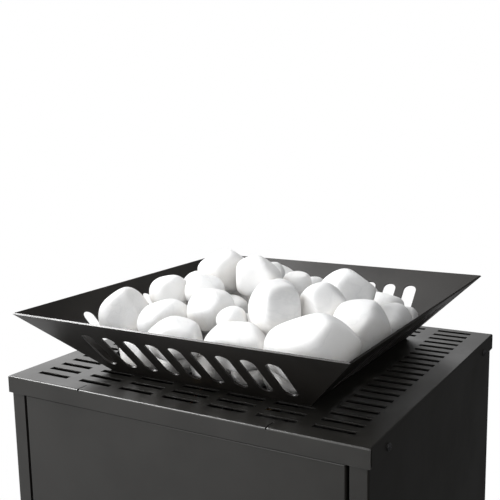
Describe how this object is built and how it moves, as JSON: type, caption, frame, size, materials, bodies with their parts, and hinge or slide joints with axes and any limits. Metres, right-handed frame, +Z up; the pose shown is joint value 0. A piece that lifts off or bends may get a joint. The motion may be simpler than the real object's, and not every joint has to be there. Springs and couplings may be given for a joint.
{
  "type": "fire pit",
  "caption": "Square steel fire pit column with a slotted lid, a flared stone tray of white pebbles over a ring burner, and a hinged front door.",
  "frame": {"origin": "on the ground, under the middle of the cabinet", "axes": "+Z up; +X to the right of somebody who faces the door; +Y from the door to the back"},
  "size_m": [0.4552, 0.434, 0.806],
  "materials": {
    "black_coat": "satin black powder coat with a fine texture",
    "tray_coat": "satin heat-proof dark paint, slightly warm",
    "dark_screws": "black screw heads, worn brighter at the edge",
    "zinc": "bright zinc plate",
    "stainless": "brushed stainless steel",
    "foot_rubber": "matt black rubber",
    "nylon": "natural nylon",
    "black_plastic": "fine textured black plastic",
    "magnet": "plain sintered magnet",
    "brass": "machined brass",
    "pipe_aluminium": "drawn aluminium pipe",
    "copper": "drawn copper",
    "insulator": "fired white ceramic",
    "red_plastic": "smooth red plastic",
    "lock_body": "dark plated zinc casting",
    "lock_core": "turned steel",
    "white_stone": "smooth tumbled white pebble"
  },
  "bodies": {
    "cabinet": {"base_plate": "black_coat", "left_side_panel": "black_coat", "right_side_panel": "black_coat", "back_panel": "black_coat", "front_top_rail": "black_coat", "heat_shield": "black_coat", "lid": "black_coat", "lid_screws": "dark_screws", "lid_nuts": "zinc", "back_rivets": "black_coat", "base_rivets": "black_coat", "feet": "foot_rubber", "hinge_bushes": "nylon", "catch_housing": "black_plastic", "catch_magnet": "magnet", "catch_screws": "zinc", "control_bracket": "black_coat", "bracket_screws": "zinc", "gas_valve": "brass", "valve_nut": "brass", "gas_inlet": "brass", "gas_pipe": "pipe_aluminium", "injector_block": "brass", "injector": "brass", "burner_bracket": "black_coat", "mixing_tube": "stainless", "burner_flange": "stainless", "burner_screws": "zinc", "burner_ring": "stainless", "electrode_insulator": "insulator", "electrode_tip": "stainless", "thermocouple": "copper", "thermocouple_lead": "copper", "igniter_body": "black_plastic", "igniter_nut": "black_plastic", "igniter_lead": "black_plastic"},
    "door": {"door_panel": "black_coat", "hinge_pins": "zinc", "hinge_gussets": "black_coat", "strike_plate": "zinc", "flush_pull": "black_plastic", "latch_housing": "lock_body", "latch_nut": "zinc"},
    "door_latch": {"latch_core": "lock_core", "latch_cam": "zinc"},
    "stem_collar": {"stem_collar": "brass"},
    "knob": {"valve_stem": "stainless", "control_knob": "black_plastic"},
    "igniter_button": {"igniter_button": "red_plastic"},
    "stone_tray": {"tray_floor": "tray_coat", "tray_front_wall": "tray_coat", "tray_back_wall": "tray_coat", "tray_left_wall": "tray_coat", "tray_right_wall": "tray_coat", "stones_lower": "white_stone", "stones_middle": "white_stone", "stones_upper": "white_stone"}
  },
  "joints": [
    {"name": "door_swing", "type": "hinge", "parent": "cabinet", "child": "door", "pos_m": [0.193, -0.2035, 0.34], "axis": [0, 0, 1], "range_deg": [0, 100]},
    {"name": "latch_turn", "type": "hinge", "parent": "door", "child": "door_latch", "pos_m": [-0.17, -0.211, 0.35], "axis": [0, 1, 0], "range_deg": [0, 90]},
    {"name": "knob_push", "type": "slide", "parent": "cabinet", "child": "stem_collar", "axis": [0, 1, 0], "range_m": [0, 0.0025], "stiffness_N_per_m": 700},
    {"name": "knob_turn", "type": "hinge", "parent": "stem_collar", "child": "knob", "pos_m": [-0.036, -0.165, 0.614], "axis": [0, -1, 0], "range_deg": [0, 180]},
    {"name": "igniter_press", "type": "slide", "parent": "cabinet", "child": "igniter_button", "axis": [0, 1, 0], "range_m": [0, 0.005], "stiffness_N_per_m": 600},
    {"name": "tray_lift", "type": "slide", "parent": "cabinet", "child": "stone_tray", "axis": [0, 0, 1], "range_m": [0, 0.15]}
  ]
}
